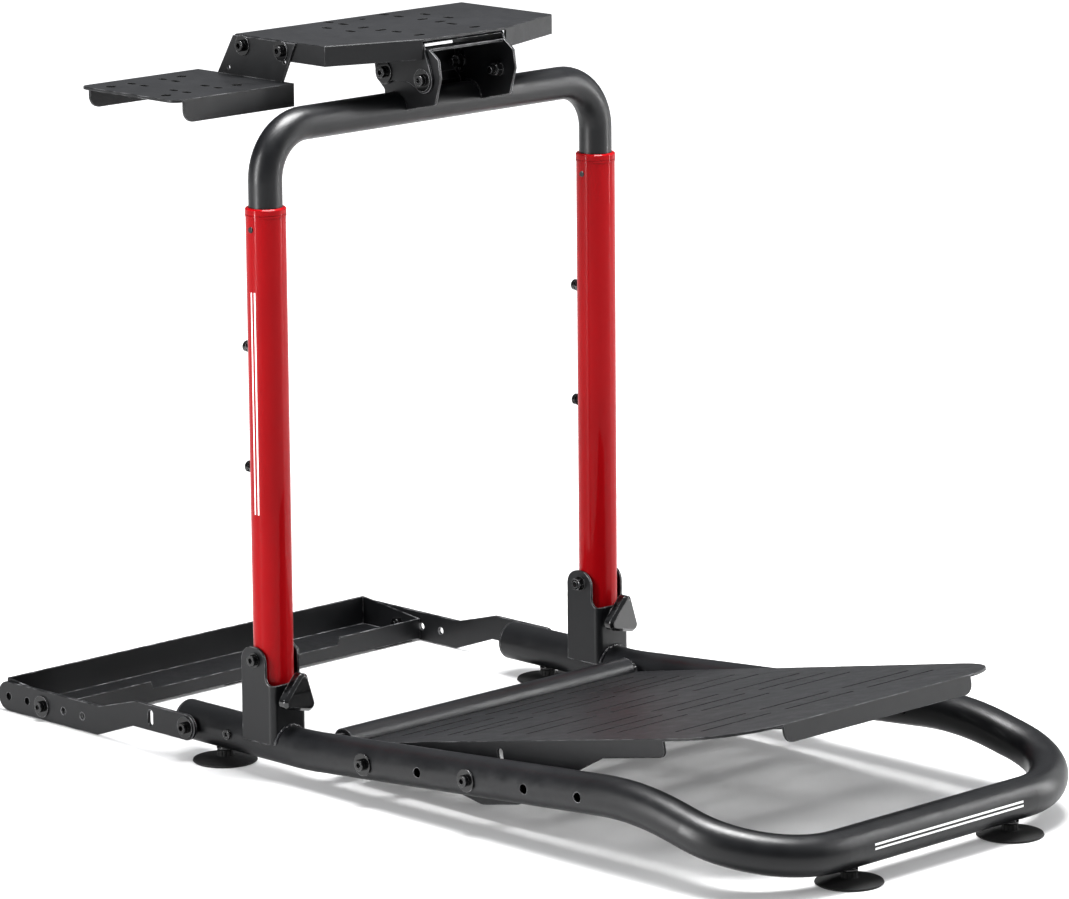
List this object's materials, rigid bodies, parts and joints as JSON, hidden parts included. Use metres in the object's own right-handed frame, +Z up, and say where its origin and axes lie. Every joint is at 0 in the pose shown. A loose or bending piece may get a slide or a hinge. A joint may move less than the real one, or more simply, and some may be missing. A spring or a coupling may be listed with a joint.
{
  "type": "racing wheel stand",
  "caption": "Folding racing wheel stand: tube base, red telescoping posts, slotted wheel, shifter and pedal plates, and a tray for chair casters.",
  "frame": {"origin": "on the floor, midway between the two posts", "axes": "+X forward to the driver's toes, +Y to the driver's left, +Z up"},
  "size_m": [1.2505, 0.6474, 0.8195],
  "materials": {
    "black_powder_coat": "satin",
    "red_powder_coat": "gloss",
    "black_plastic": "satin",
    "gloss_black_plastic": "gloss",
    "black_rubber": "matte",
    "black_oxide_steel": "satin"
  },
  "bodies": {
    "base": {"base_frame": "black_powder_coat", "rail_end_caps": "black_plastic", "cross_tube": "black_powder_coat", "cross_tube_studs": "black_oxide_steel", "foot_inserts": "black_oxide_steel", "frame_screws": "black_oxide_steel", "right_post_bracket": "black_powder_coat", "left_post_bracket": "black_powder_coat", "post_pivot_bolts": "black_oxide_steel", "pedal_pivot_bolts": "black_oxide_steel", "pedal_tilt_bolts": "black_oxide_steel", "tray_pivot_bolts": "black_oxide_steel", "base_washers": "black_oxide_steel", "base_lock_nuts": "black_oxide_steel", "pedal_spacers": "black_oxide_steel", "tray_pivot_spacers": "black_oxide_steel"},
    "uprights": {"right_post_tube": "red_powder_coat", "left_post_tube": "red_powder_coat", "post_plugs": "black_plastic", "post_collars": "red_powder_coat", "collar_rivets": "black_oxide_steel", "height_lock_nuts": "black_oxide_steel", "height_lock_bolts": "black_oxide_steel"},
    "handle": {"handle_tube": "black_powder_coat", "handle_guides": "black_plastic", "tilt_cheeks": "black_powder_coat"},
    "wheel_deck": {"wheel_plate": "black_powder_coat", "tilt_channel": "black_powder_coat", "tilt_bolts": "black_oxide_steel", "shifter_bolts": "black_oxide_steel", "wheel_mount_washers": "black_oxide_steel", "wheel_mount_nuts": "black_oxide_steel", "shifter_plate": "black_powder_coat"},
    "pedal_deck": {"pedal_plate": "black_powder_coat", "pedal_bushes": "black_oxide_steel"},
    "tray": {"caster_tray": "black_powder_coat", "right_tray_arm": "black_powder_coat", "left_tray_arm": "black_powder_coat", "tray_bolts": "black_oxide_steel", "tray_washers": "black_oxide_steel", "tray_nuts": "black_oxide_steel", "tray_pads": "black_rubber"},
    "right_knob": {"right_lock_knob": "gloss_black_plastic", "right_knob_stud": "black_oxide_steel"},
    "left_knob": {"left_lock_knob": "gloss_black_plastic", "left_knob_stud": "black_oxide_steel"},
    "right_rear_foot": {"right_rear_foot_pad": "black_rubber", "right_rear_foot_stud": "black_oxide_steel"},
    "left_rear_foot": {"left_rear_foot_pad": "black_rubber", "left_rear_foot_stud": "black_oxide_steel"},
    "right_front_foot": {"right_front_foot_pad": "black_rubber", "right_front_foot_stud": "black_oxide_steel"},
    "left_front_foot": {"left_front_foot_pad": "black_rubber", "left_front_foot_stud": "black_oxide_steel"}
  },
  "joints": [
    {"name": "upright_fold", "type": "hinge", "parent": "base", "child": "uprights", "pos_m": [-0.003, 0, 0.1365], "axis": [0, 1, 0], "range_deg": [0, 55]},
    {"name": "height_slide", "type": "slide", "parent": "uprights", "child": "handle", "axis": [0, 0, 1], "range_m": [0, 0.1]},
    {"name": "wheel_plate_tilt", "type": "hinge", "parent": "handle", "child": "wheel_deck", "pos_m": [0.049, 0, 0.773], "axis": [0, 1, 0], "range_deg": [-8, 8]},
    {"name": "pedal_plate_tilt", "type": "hinge", "parent": "base", "child": "pedal_deck", "pos_m": [0.17, 0, 0.04726], "axis": [0, -1, 0], "range_deg": [-6, 6.5]},
    {"name": "tray_fold", "type": "hinge", "parent": "base", "child": "tray", "pos_m": [-0.118, 0, 0.0385], "axis": [0, 1, 0], "range_deg": [0, 90]},
    {"name": "right_knob_turn", "type": "hinge", "parent": "base", "child": "right_knob", "pos_m": [0.033, -0.257, 0.099], "axis": [1, 0, 0], "continuous": true},
    {"name": "left_knob_turn", "type": "hinge", "parent": "base", "child": "left_knob", "pos_m": [0.033, 0.257, 0.099], "axis": [1, 0, 0], "continuous": true},
    {"name": "right_rear_foot_screw", "type": "slide", "parent": "base", "child": "right_rear_foot", "axis": [0, 0, -1], "range_m": [0, 0.012]},
    {"name": "left_rear_foot_screw", "type": "slide", "parent": "base", "child": "left_rear_foot", "axis": [0, 0, -1], "range_m": [0, 0.012]},
    {"name": "right_front_foot_screw", "type": "slide", "parent": "base", "child": "right_front_foot", "axis": [0, 0, -1], "range_m": [0, 0.012]},
    {"name": "left_front_foot_screw", "type": "slide", "parent": "base", "child": "left_front_foot", "axis": [0, 0, -1], "range_m": [0, 0.012]}
  ]
}
